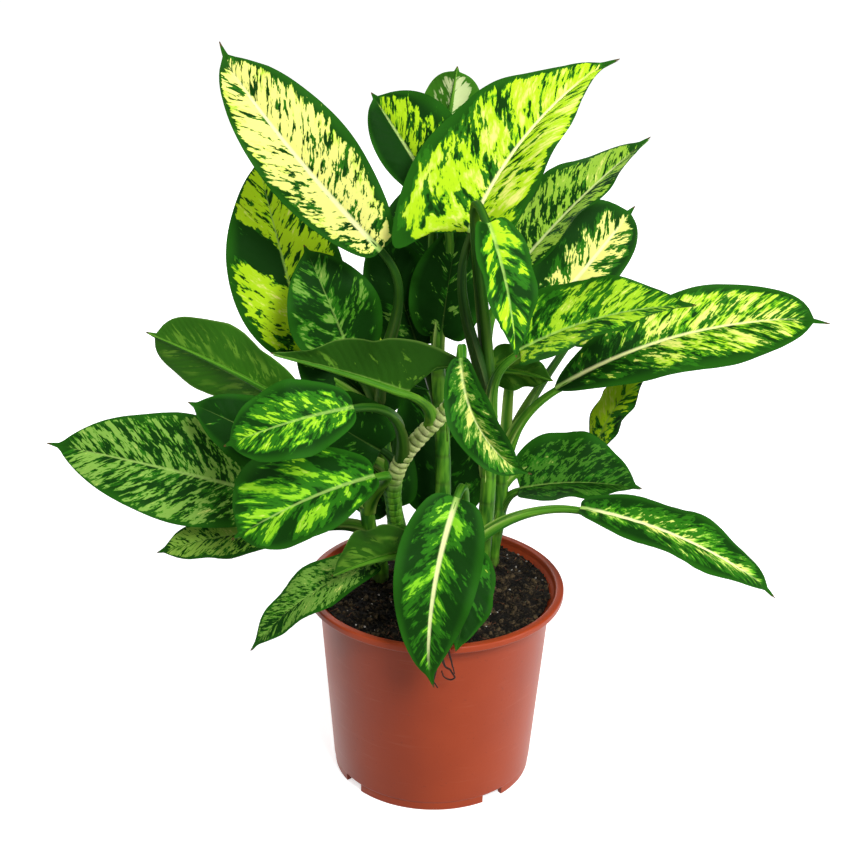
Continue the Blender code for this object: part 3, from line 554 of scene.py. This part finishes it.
def darkBar(net, given, v, s, edge, vein, out):
    # how high the streaks' noise has to reach before the blade is light there
    cream, dark, blotch = net.split(given["Shade"])
    margin, feather, base = net.split(given["Spread"])
    side, first, last = net.split(given["Band"])
    bar = 0.5 + (dark - 0.5) * 0.3 + v * given["Tilt"] * 0.1
    bar = bar + net.step(edge, 1 - margin * 1.9, 1.02 - margin * 0.5) * 0.22
    bar = bar + net.step(s, 0.86, 0.99) * 0.3 + base * net.step(s, 0.5, 0.05) * 0.22
    bar = bar + feather * (edge - 0.3) * 0.3
    seed = given["Seed"] + net.number("SIGN", v) * 5
    patch = net.noise(net.pack(vein * 0.55, out * 0.4, seed), 1.0, 1.0)
    bar = bar - (patch - 0.5) * blotch * 0.9
    inside = net.step(vein, first - 0.5, first + 0.4) * net.step(vein, last + 0.5, last - 0.4)
    bar = bar + inside * net.step(v * side, -0.05, 0.15) * 0.35
    return bar, cream * (1.1 - edge * 0.5)


def sheetGrid(net, width, columns, rows):
    sockets = {"Size X": width, "Size Y": 1.0, "Vertices X": columns, "Vertices Y": rows}
    x, y = net.split(net.geo("InputPosition"))[:2]
    return net.geo("MeshGrid", sockets), x, y + 0.5


def rounded(net, way, steep):
    # 1 all along, falling to 0 at both ends
    return net.number("MINIMUM", way * steep, 1.0) * net.number("MINIMUM", (1 - way) * steep, 1.0)


def weld(net, shape):
    sockets = {"Geometry": shape, "Distance": leafForm["weld"]}
    return net.geo("MergeByDistance", sockets)


def bladeShape(net, given):
    # v runs from -1 at the left edge to 1 at the right one, s from 0 at the heel to 1 at the tip
    form = leafForm
    sheet, v, way = sheetGrid(net, 2.0, form["columns"], form["rows"])
    s = net.number("POWER", way, form["rowsToHeel"])
    edge = abs(v)
    point, along, right, up = midribAt(net, given, s)
    half = halfWidth(net, given, s) * (1 + given["Skew"] * v)
    lean = given["Fold"] - edge * radians(form["edgeCurl"] / 2)
    out = half * v * net.number("COSINE", lean)
    rise = half * edge * net.number("SINE", lean)
    inner = net.number("SINE", s * pi)
    swing = net.number("SINE", s * (2 * pi * form["waves"]) + v * 1.2) * inner
    rise = rise + given["Wave"] * edge * edge * swing
    ripple = net.noise(net.pack(v * 1.5, s * 7, given["Seed"]), 1.0, 2.0)
    rise = rise + (ripple - 0.5) * edge * edge * form["ripple"] * inner
    # the side veins leave the midrib steeply at the heel and lean forward towards the tip
    outCm, upCm, lengthCm = half * edge / cm, given["Length"] * s / cm, given["Length"] / cm
    vein = (upCm - outCm * 0.45 - outCm * outCm * 0.05) / (1 + outCm * 1.1 / lengthCm)
    quilt = net.number("SINE", vein * form["quiltBeat"]) * form["quilt"]
    rise = rise + quilt * net.step(edge, 1.0, 0.6)
    rise = rise - net.step(outCm, 0.3, 0.0) * form["channel"] * net.step(s, 1.0, 0.7)
    # the heel's lobes reach back past the stalk
    lag = net.number("MAXIMUM", 1 - s / form["lobeEnd"], 0.0)
    bud = net.number("MAXIMUM", 1 - s / form["lobeStart"], 0.0)
    back = given["Lobe"] * (1 + given["Skew"] * v) * edge * edge * lag * lag * (1 - bud * bud)
    top = point + right * out + up * rise - along * back
    body = (1 - edge**8) * rounded(net, s, 30)
    low = top - up * (body * form["thickness"])
    bar, creamAt = darkBar(net, given, v, s, edge, vein, outCm)
    sheet = net.keep(sheet, "place", net.pack(v, s, given["Size"]))
    sheet = net.keep(sheet, "grain", net.pack(half * v / cm, vein, given["Seed"]))
    sheet = net.keep(sheet, "look", net.pack(bar, creamAt, given["Mid"]))
    sheet = net.keep(sheet, "cast", net.pack(given["Tone"], given["Rib"], 0))
    upper = net.mark(net.move(sheet, Position=top), 0)
    under = net.geo("FlipFaces", {"Mesh": net.move(sheet, Position=low)})
    return weld(net, net.join(upper, net.mark(under, 1)))


def stalkShape(net, given):
    form = stalkForm
    share = form["share"]
    sheet, turn, way = sheetGrid(net, 1.0, form["sides"], form["rows"])
    angle = (turn + 0.5) * (2 * pi)
    t = net.number("MINIMUM", way / share, 1.0)
    s = net.number("MAXIMUM", (way - share) / (1 - share), 0.0)
    onBlade = net.number("GREATER_THAN", way, share)
    heel, heelAlong, heelRight, heelUp = midribAt(net, given, way * 0)
    head = heel - heelUp * form["head"]
    span = net.vector("DISTANCE", head, given["Foot"], output=1)
    leave = given["Leave"] + net.unit(head - given["Foot"]) * 0.5
    leave = net.unit(leave) * (span * 0.4)
    first = given["Foot"] + leave
    second = head - heelAlong * (span * 0.35)
    u = 1 - t
    stem = given["Foot"] * (u**3) + first * (t * u * u * 3) + second * (t * t * u * 3) + head * (t**3)
    stemAlong = leave * (u * u * 3) + (second - first) * (t * u * 6) + (head - second) * (t * t * 3)
    stemAlong = net.unit(stemAlong)
    rib, ribAlong, ribRight, ribUp = midribAt(net, given, s)
    ribRadius = form["head"] * net.number("POWER", 1 - s, 0.8) + form["ribEnd"]
    # the rib sinks just below the channel in the blade's upper side
    rib = rib - ribUp * (ribRadius + net.number("MINIMUM", s * 12, 1.0) * form["ribSink"])
    radius = form["foot"] + (form["head"] - form["foot"]) * t
    radius = radius + (ribRadius - radius) * onBlade
    centre = stem + (rib - stem) * onBlade
    ahead = stemAlong + (ribAlong - stemAlong) * onBlade
    across = heelRight + (ribRight - heelRight) * onBlade
    across = net.unit(across - ahead * net.dot(across, ahead))
    up = net.vector("CROSS_PRODUCT", across, ahead)
    # a channel runs along the top, between two sheath wings that die out halfway up
    fromTop = abs(net.number("WRAP", angle - pi / 2, pi, -pi))
    wing = net.step(abs(fromTop - 0.75), 0.42, 0.0) * net.step(t, 0.72, 0.3)
    channel = net.step(fromTop, 0.8, 0.0) * (1 - onBlade)
    radius = radius * (1 + wing * form["wing"] - channel * form["channel"])
    radius = radius * rounded(net, way, 60)
    ring = across * (net.number("COSINE", angle) * radius) + up * (net.number("SINE", angle) * radius)
    sheet = net.keep(sheet, "place", net.pack(angle / (2 * pi), way, given["Stalk"]))
    sheet = net.keep(sheet, "grain", net.pack(wing, way, given["Seed"]))
    sheet = weld(net, net.move(sheet, Position=centre + ring))
    return net.mark(net.geo("FlipFaces", {"Mesh": sheet}), 2)


def leafTree(*skins):
    vectors = ("Heel", "Tip", "Face", "Foot", "Leave", "Shade", "Spread", "Band")
    numbers = ("Width", "Rise", "Sway", "Fold", "Wave", "Skew", "Lobe", "Hook", "Shoulder", "Length",
               "Size", "Tilt", "Tone", "Mid", "Rib", "Stalk", "Seed")
    tree, net, given = newTree("leafGrowth", numbers, vectors)
    net.dress(net.join(bladeShape(net, given), stalkShape(net, given)), *skins)
    return tree


def growLeaves():
    tree = leafTree(leafUpper(), leafUnder(), stalkSkin())
    for count, (name, one) in enumerate(leaves.items()):
        foot, leave = jointOn(canePath(shoots[one["shoot"]]), one["at"])
        heel, tip = Vector(one["heel"]) * cm, Vector(one["tip"]) * cm
        values = {
            "Heel": heel, "Tip": tip, "Face": Vector(one["face"]).normalized(),
            "Length": (tip - heel).length, "Foot": foot - leave * stalkForm["sink"], "Leave": leave,
            "Fold": radians(one["fold"]), "Shade": (one["cream"], one["dark"], one["blotch"]),
            "Spread": (one["margin"], one["feather"], one["base"]), "Band": one["band"],
            "Seed": 7.3 * count + 1,
        }
        for part in ("skew", "shoulder", "size", "tilt", "tone", "mid", "rib", "stalk"):
            values[part.capitalize()] = float(one[part])
        for part in ("width", "rise", "sway", "wave", "lobe", "hook"):
            values[part.capitalize()] = one[part] * cm
        place(grown(f"leaf_{name}", tree, values), "foliage", f"shoot_{one['shoot']}")
    print("leaves grown:", len(leaves))


def tube(net, line, scale, sides):
    profile = net.geo("CurvePrimitiveCircle", {"Resolution": sides, "Radius": 1.0})
    sockets = {"Curve": line, "Profile Curve": profile, "Scale": scale, "Fill Caps": True}
    return net.mark(net.geo("CurveToMesh", sockets), 0)


def evenRows(net, line, row):
    return net.add("GeometryNodeResampleCurve", {"mode": "LENGTH"}, {"Curve": line, "Length": row})


def caneTree(skin):
    names = ("Radius", "Taper", "Ring Spacing", "Ring Height", "Length", "Paleness")
    tree, net, given = newTree("caneRings", names)
    line = evenRows(net, given["Geometry"], cane["row"])
    done = net.geo("SplineParameter", output=1)
    beat = net.number("FRACT", done / given["Ring Spacing"])
    scar = net.step(abs(beat - 0.5), 0.36, 0.5)
    swell = (net.number("SINE", beat * pi) - scar) * given["Ring Height"]
    shown = net.step(done, cane["swellFrom"], cane["swellTo"])
    swell = swell * (cane["buried"] + shown * (1 - cane["buried"]))
    thick = given["Radius"] * (1 - given["Taper"] * done / given["Length"]) + swell
    dome = net.number("MINIMUM", (given["Length"] - done) / cane["dome"], 1.0)
    thick = thick * net.number("POWER", net.number("MAXIMUM", dome, 0.01), 0.4)
    line = net.keep(line, "grain", net.pack(scar, done / cm - cane["rootDepth"], given["Paleness"]))
    net.dress(tube(net, line, thick, cane["sides"]), skin)
    return tree


def lineThrough(name, points):
    curve = bpy.data.curves.new(name, "CURVE")
    curve.dimensions = "3D"
    line = curve.splines.new("POLY")
    line.points.add(len(points) - 1)
    for spot, p in zip(line.points, points):
        spot.co = (*p, 1)
    return curve


def growCanes():
    tree = caneTree(caneSkin())
    for name, shoot in shoots.items():
        path = canePath(shoot)
        kind = cane["ringed" if name == "ringed" else "smooth"]
        values = {
            "Radius": cane["radius"], "Taper": cane["taper"], "Ring Spacing": kind["spacing"],
            "Ring Height": kind["height"], "Paleness": kind["pale"],
            "Length": sum((b - a).length for a, b in zip(path, path[1:])),
        }
        piece = grown(f"cane_{name}", tree, values, lineThrough(name, path))
        place(piece, "foliage", f"shoot_{name}")
    print("canes grown:", len(shoots))


pot = {
    "rim": 8.5 * cm, "height": 13.4 * cm, "neck": 7.65 * cm, "foot": 6.6 * cm, "wall": 0.2 * cm,
    "band": 0.5 * cm, "lip": 0.55 * cm, "skirt": 0.65 * cm, "skirtWidth": 0.35 * cm, "pad": 4.5 * cm,
    "channel": 0.55 * cm, "notchWidth": 1.6 * cm, "notches": 4, "notchAngle": -52, "drain": 0.4 * cm,
    "soft": 0.08 * cm, "sides": 160, "bevel": 0.05 * cm, "crease": 32,
    "deep": (0.37, 0.048, 0.011), "faded": (0.43, 0.060, 0.015), "speck": (0.16, 0.03, 0.015),
    "scuff": (0.6, 0.2, 0.12), "specular": 0.2, "roughness": 0.3,
}


def potPlastic():
    p = pot
    net, shader = newMaterial("terracottaPlastic", specular=p["specular"])
    here = net.here()
    cloud = net.noise(here, 14.0, 3.0)
    speck = net.noise(here, 420.0, 2.0)
    scuff = net.noise(net.vector("MULTIPLY", here, (30.0, 30.0, 300.0)), 1.0, 2.0)
    colour = net.mix(net.step(cloud, 0.3, 0.7), p["deep"], p["faded"])
    colour = net.mix(net.step(speck, 0.66, 0.74) * 0.25, colour, p["speck"])
    colour = net.mix(net.step(scuff, 0.6, 0.8) * 0.12, colour, p["scuff"])
    net.feed(shader.inputs["Roughness"], p["roughness"] + cloud * 0.16)
    return coat(net, shader, colour, speck + cloud, 0.1, 0.0004)


def potProfile():
    p = pot
    soft, inner = p["soft"], p["foot"] - p["skirtWidth"]
    band, lip, floor = p["height"] - p["band"], p["rim"] - p["lip"], p["channel"] + p["wall"]
    return [
        (0, 0), (p["pad"] - soft, 0), (p["pad"] + soft, p["channel"]), (inner - soft, p["channel"]),
        (inner, 0), (p["foot"], 0), (p["foot"], p["skirt"] - soft), (p["foot"] + soft, p["skirt"]),
        (p["neck"], band - soft), (p["neck"] + soft, band), (p["rim"] - soft, band),
        (p["rim"], band + soft), (p["rim"], p["height"] - soft), (p["rim"] - soft, p["height"]),
        (lip + soft, p["height"]), (lip, p["height"] - soft), (lip - soft, band + p["wall"]),
        (p["neck"] - p["wall"], band - p["wall"]), (p["foot"] - p["wall"], floor + soft),
        (inner - soft, floor), (p["pad"] - soft, floor), (p["pad"] - 3 * soft, p["wall"]),
        (0, p["wall"]),
    ]


def turnedMesh(name, profile, sides):
    # a closed round body from a profile that starts and ends on the axis
    shape = bmesh.new()
    turns = [2 * pi * k / sides for k in range(sides)]
    rings = []
    for radius, height in profile:
        spots = [(radius * cos(a), radius * sin(a), height) for a in (turns if radius else [0])]
        rings.append([shape.verts.new(spot) for spot in spots])
    for low, high in zip(rings, rings[1:]):
        for k in range(sides):
            n = (k + 1) % sides
            if len(low) == 1:
                shape.faces.new((low[0], high[n], high[k]))
            elif len(high) == 1:
                shape.faces.new((low[k], low[n], high[0]))
            else:
                shape.faces.new((low[k], low[n], high[n], high[k]))
    bmesh.ops.recalc_face_normals(shape, faces=shape.faces)
    return meshObject(name, shape)


def meshObject(name, shape):
    mesh = bpy.data.meshes.new(name)
    shape.to_mesh(mesh)
    shape.free()
    piece = bpy.data.objects.new(name, mesh)
    bpy.context.scene.collection.objects.link(piece)
    return piece


def flatten(piece):
    # puts an object's live modifiers into its mesh
    graph = bpy.context.evaluated_depsgraph_get()
    mesh = bpy.data.meshes.new_from_object(piece.evaluated_get(graph))
    piece.modifiers.clear()
    piece.data = mesh


def potCutters():
    # the notches in the skirt and the drain holes in the channel
    p = pot
    cutters = []
    drainCircle = (p["pad"] + p["foot"] - p["skirtWidth"]) / 2
    for k in range(p["notches"]):
        angle = radians(p["notchAngle"] + 360 * k / p["notches"])
        notch = bmesh.new()
        bmesh.ops.create_cube(notch, size=1)
        size = Matrix.Diagonal((3 * p["skirtWidth"], p["notchWidth"], 2 * p["channel"], 1))
        notch.transform(Matrix.Rotation(angle, 4, "Z") @ Matrix.Translation((p["foot"], 0, 0)) @ size)
        cutters.append(meshObject("notch", notch))
        drill = turnedMesh("drain", [(0, 0), (p["drain"], 0), (p["drain"], 2 * cm), (0, 2 * cm)], 24)
        drill.location = (drainCircle * cos(angle), drainCircle * sin(angle), 0.3 * cm)
        cutters.append(drill)
    return cutters


def makePot():
    shell = turnedMesh("potShell", potProfile(), pot["sides"])
    bevel = shell.modifiers.new("roundedEdges", "BEVEL")
    bevel.width = pot["bevel"]
    bevel.segments = 3
    bevel.angle_limit = radians(25)
    cutters = potCutters()
    for cutter in cutters:
        cut = shell.modifiers.new("cut", "BOOLEAN")
        cut.object = cutter
        cut.operation = "DIFFERENCE"
        cut.solver = "EXACT"
    flatten(shell)
    for cutter in cutters:
        bpy.data.objects.remove(cutter)
    shell.data.shade_smooth()
    shell.data.set_sharp_from_angle(angle=radians(pot["crease"]))
    shell.data.materials.clear()
    shell.data.materials.append(potPlastic())
    place(shell, "pot", "pot")
    print("pot turned")


soil = {
    "edge": 12.95 * cm, "mound": 0.35 * cm, "lump": 0.9 * cm, "radius": 7.55 * cm, "rows": 170,
    "seed": 4, "crumbs": 3600, "clods": 650, "perlite": 70, "fibres": 210,
    "crumbSize": 0.1 * cm, "clodSize": 0.19 * cm, "fibreWidth": 0.03 * cm, "fibreLength": 0.9 * cm,
    "crooked": 0.12 * cm, "specular": 0.25,
}
# dark and light colour, roughness
earths = {
    "soilBed": ((0.002, 0.0015, 0.001), (0.012, 0.008, 0.005), 0.95),
    "soilCrumb": ((0.003, 0.002, 0.001), (0.05, 0.035, 0.018), 0.9),
    "soilClod": ((0.003, 0.002, 0.001), (0.11, 0.075, 0.035), 0.9),
    "perlite": ((0.25, 0.22, 0.18), (0.65, 0.62, 0.56), 0.85),
    "barkFibre": ((0.06, 0.022, 0.01), (0.17, 0.075, 0.035), 0.85),
    "rootletSkin": ((0.008, 0.004, 0.003), (0.04, 0.018, 0.01), 0.8),
}
# each rootlet runs over the rim at the front and hangs; places in centimetres
rootlets = {
    "radius": 0.08 * cm, "row": 0.08 * cm, "sides": 8, "crooked": 0.12 * cm,
    "lines": (
        ((0.3, -7.5, 13.2), (0.4, -8.3, 13.6), (0.5, -8.72, 13.2), (0.6, -8.7, 12.4),
         (1.0, -8.6, 11.9), (1.3, -8.55, 11.4), (1.0, -8.5, 11.15), (0.6, -8.5, 11.4),
         (0.45, -8.55, 11.8)),
        ((0.7, -7.6, 13.2), (0.8, -8.3, 13.55), (0.95, -8.7, 13.0), (1.15, -8.75, 12.3),
         (1.25, -8.7, 11.7)),
        ((-0.1, -7.7, 13.2), (0.0, -8.4, 13.6), (0.1, -8.75, 13.1), (0.15, -8.8, 12.2),
         (0.0, -8.75, 11.2), (0.25, -8.7, 10.7)),
    ),
}


def earth(name):
    dark, light, roughness = earths[name]
    net, shader = newMaterial(name, roughness, soil["specular"])
    here = net.here()
    grit = net.noise(here, 600.0, 4.0, 0.7)
    share = net.step(grit * 0.6 + net.noise(here, 90.0, 2.0) * 0.4, 0.4, 0.65)
    return coat(net, shader, net.mix(share, dark, light), grit, 0.6, 0.001)


def soilBed(net):
    # a square grid is squeezed into a round one, mounded and lumpy
    s, radius, rows = soil, soil["radius"], soil["rows"]
    sockets = {"Vertices X": rows, "Vertices Y": rows, "Size X": 2 * radius, "Size Y": 2 * radius}
    x, y = net.split(net.geo("InputPosition"))[:2]
    reachX, reachY = x / radius, y / radius
    roundX = x * net.number("SQRT", 1 - reachY * reachY * 0.5)
    roundY = y * net.number("SQRT", 1 - reachX * reachX * 0.5)
    reach = net.number("SQRT", roundX * roundX + roundY * roundY) / radius
    spot = net.pack(roundX, roundY, 0)
    lumps = (net.noise(spot, 160.0, 3.0, 0.6) - 0.5) * 0.6 + net.noise(spot, 45.0, 2.0) - 0.5
    z = s["edge"] + s["mound"] * (1 - reach * reach) + lumps * s["lump"] * (1 - 0.6 * reach**6)
    grid = net.geo("MeshGrid", sockets)
    return net.mark(net.move(grid, Position=net.pack(roundX, roundY, z)), 0)


def soilTree(*skins):
    tree, net, given = newTree("soilTop", ("Crumbs", "Clods", "Perlite", "Fibres"), (), ("Seed",))
    s = soil
    top = soilBed(net)
    area = pi * s["radius"] ** 2
    crumb = net.geo("MeshIcoSphere", {"Radius": s["crumbSize"], "Subdivisions": 1})
    clod = net.geo("MeshIcoSphere", {"Radius": s["clodSize"], "Subdivisions": 2})
    sockets = {"Vertices": 5, "Side Segments": 1, "Radius": s["fibreWidth"], "Depth": s["fibreLength"]}
    rod = net.geo("MeshCylinder", sockets)
    around, lying = ((0, 0, 0), (2 * pi, 0.3, 2 * pi)), ((1.3, 0, 0), (1.8, 0.3, 2 * pi))
    kinds = (("Crumbs", crumb, 0.4, 1.7, around), ("Clods", clod, 0.5, 1.4, around),
             ("Perlite", crumb, 0.6, 1.3, around), ("Fibres", rod, 0.5, 1.7, lying))
    crooked = net.noise(net.geo("InputPosition"), 500.0, 1.0) - 0.5
    lift = net.geo("InputNormal") * (crooked * s["crooked"])
    shapes = [top]

    def between(low, high, seed):
        settings, sockets = {"data_type": "FLOAT_VECTOR"}, {0: low, 1: high, "Seed": seed}
        return net.add("FunctionNodeRandomValue", settings, sockets)

    for count, (name, shape, small, large, turns) in enumerate(kinds, 1):
        sockets = {"Mesh": top, "Density": given[name] / area, "Seed": given["Seed"] + count}
        points = net.geo("DistributePointsOnFaces", sockets)
        least, most = (small, small, small * 0.6), (large, large * 0.8, large * 0.7)
        size = between(least, most, count + 10)
        spin = between(*turns, count + 20)
        sockets = {"Points": points, "Instance": shape, "Rotation": spin, "Scale": size}
        copies = net.geo("InstanceOnPoints", sockets)
        copies = net.geo("RealizeInstances", {"Geometry": copies})
        if shape is not rod:
            copies = net.move(copies, Offset=lift)
        shapes.append(net.mark(copies, count))
    net.dress(net.join(*shapes), *skins)
    return tree


def makeSoil():
    skins = ("soilBed", "soilCrumb", "soilClod", "perlite", "barkFibre")
    tree = soilTree(*[earth(name) for name in skins])
    values = {name.capitalize(): float(soil[name]) for name in ("crumbs", "clods", "perlite", "fibres")}
    place(grown("soilTop", tree, {**values, "Seed": soil["seed"]}), "soil", "soil")
    print("soil scattered")


def rootTree(skin):
    tree, net, given = newTree("rootlet", ("Radius",))
    settings = {"spline_type": "CATMULL_ROM"}
    line = net.add("GeometryNodeCurveSplineType", settings, {"Curve": given["Geometry"]})
    line = evenRows(net, line, rootlets["row"])
    done = net.geo("SplineParameter")
    bend = net.noise(net.geo("InputPosition"), 300.0, 1.0, 0.5) - 0.5
    line = net.move(line, Offset=net.pack(bend, 0.0, bend) * rootlets["crooked"])
    net.dress(tube(net, line, given["Radius"] * (1.2 - done * 0.7), rootlets["sides"]), skin)
    return tree


def growRootlets():
    tree = rootTree(earth("rootletSkin"))
    for count, line in enumerate(rootlets["lines"]):
        curve = lineThrough("rootlet", [Vector(p) * cm for p in line])
        place(grown(f"rootlet_{count}", tree, {"Radius": rootlets["radius"]}, curve), "soil")
    print("rootlets grown:", len(rootlets["lines"]))


# floor, light and camera
studio = {
    "aim": (-0.7 * cm, 0, 24.6 * cm), "distance": 1.10, "elevation": 23.5, "roll": 1.0, "lens": 73.1,
    "floorReach": 60, "floorWhite": 0.85, "glowNear": 0.62, "glowFar": 0.85, "glowFrom": 0.15,
    "glowTo": 0.8, "sky": 0.19,
    "boxes": {
        "keyBox": {"spot": (0.55, -1.2, 1.4), "aim": (0, 0, 0.28), "size": 0.55, "power": 25},
        "topBox": {"spot": (-0.2, 0.1, 1.7), "aim": (0, 0, 0.3), "size": 0.6, "power": 6},
        "leftBox": {"spot": (-1.3, -0.6, 0.9), "aim": (0, 0, 0.25), "size": 0.7, "power": 5},
        "rightBox": {"spot": (1.3, -0.5, 0.45), "aim": (0, 0, 0.1), "size": 0.5, "power": 10},
        "backBox": {"spot": (-0.4, 1.4, 0.9), "aim": (0, 0, 0.25), "size": 0.9, "power": 8},
    },
}


def softBox(name, spot, aim, size, power):
    data = bpy.data.lights.new(name, "AREA")
    data.size = size
    data.energy = power
    lamp = bpy.data.objects.new(name, data)
    bpy.context.scene.collection.objects.link(lamp)
    lamp.location = spot
    lamp.rotation_mode = "QUATERNION"
    lamp.rotation_quaternion = (Vector(aim) - Vector(spot)).to_track_quat("-Z", "Y")


def floorPaper():
    net, shader = newMaterial("paleFloor", 0.9, 0.2)
    shader.inputs["Base Color"].default_value = (studio["floorWhite"],) * 3 + (1,)
    shader.inputs["Emission Strength"].default_value = 1.0
    away = net.vector("LENGTH", net.here(), output=1)
    glow = net.step(away, studio["glowFrom"], studio["glowTo"])
    glow = studio["glowNear"] + glow * (studio["glowFar"] - studio["glowNear"])
    net.feed(shader.inputs["Emission Color"], net.pack(glow, glow, glow))
    return net.material


def makeStudio():
    paper = bmesh.new()
    bmesh.ops.create_grid(paper, x_segments=1, y_segments=1, size=studio["floorReach"])
    floor = meshObject("floor", paper)
    floor.data.materials.append(floorPaper())
    floor.visible_diffuse = False
    world = bpy.data.worlds.new("studio")
    bpy.context.scene.world = world
    world.use_nodes = True
    sky = world.node_tree.nodes["Background"]
    sky.inputs["Color"].default_value = (1, 1, 1, 1)
    sky.inputs["Strength"].default_value = studio["sky"]
    for name, box in studio["boxes"].items():
        softBox(name, **box)
    camera = bpy.data.cameras.new("camera")
    camera.lens = studio["lens"]
    camera.sensor_width = 36
    eye = bpy.data.objects.new("camera", camera)
    bpy.context.scene.collection.objects.link(eye)
    lift = radians(studio["elevation"])
    back = Vector((0, -cos(lift), sin(lift)))
    eye.location = Vector(studio["aim"]) + back * studio["distance"]
    towards = (-back).to_track_quat("-Z", "Y").to_matrix().to_4x4()
    eye.rotation_euler = (towards @ Matrix.Rotation(radians(studio["roll"]), 4, "Z")).to_euler()
    bpy.context.scene.camera = eye
    bpy.context.scene.view_settings.view_transform = "Standard"
    print("studio lit")


makeStudio()
makePot()
makeSoil()
growRootlets()
growCanes()
growLeaves()
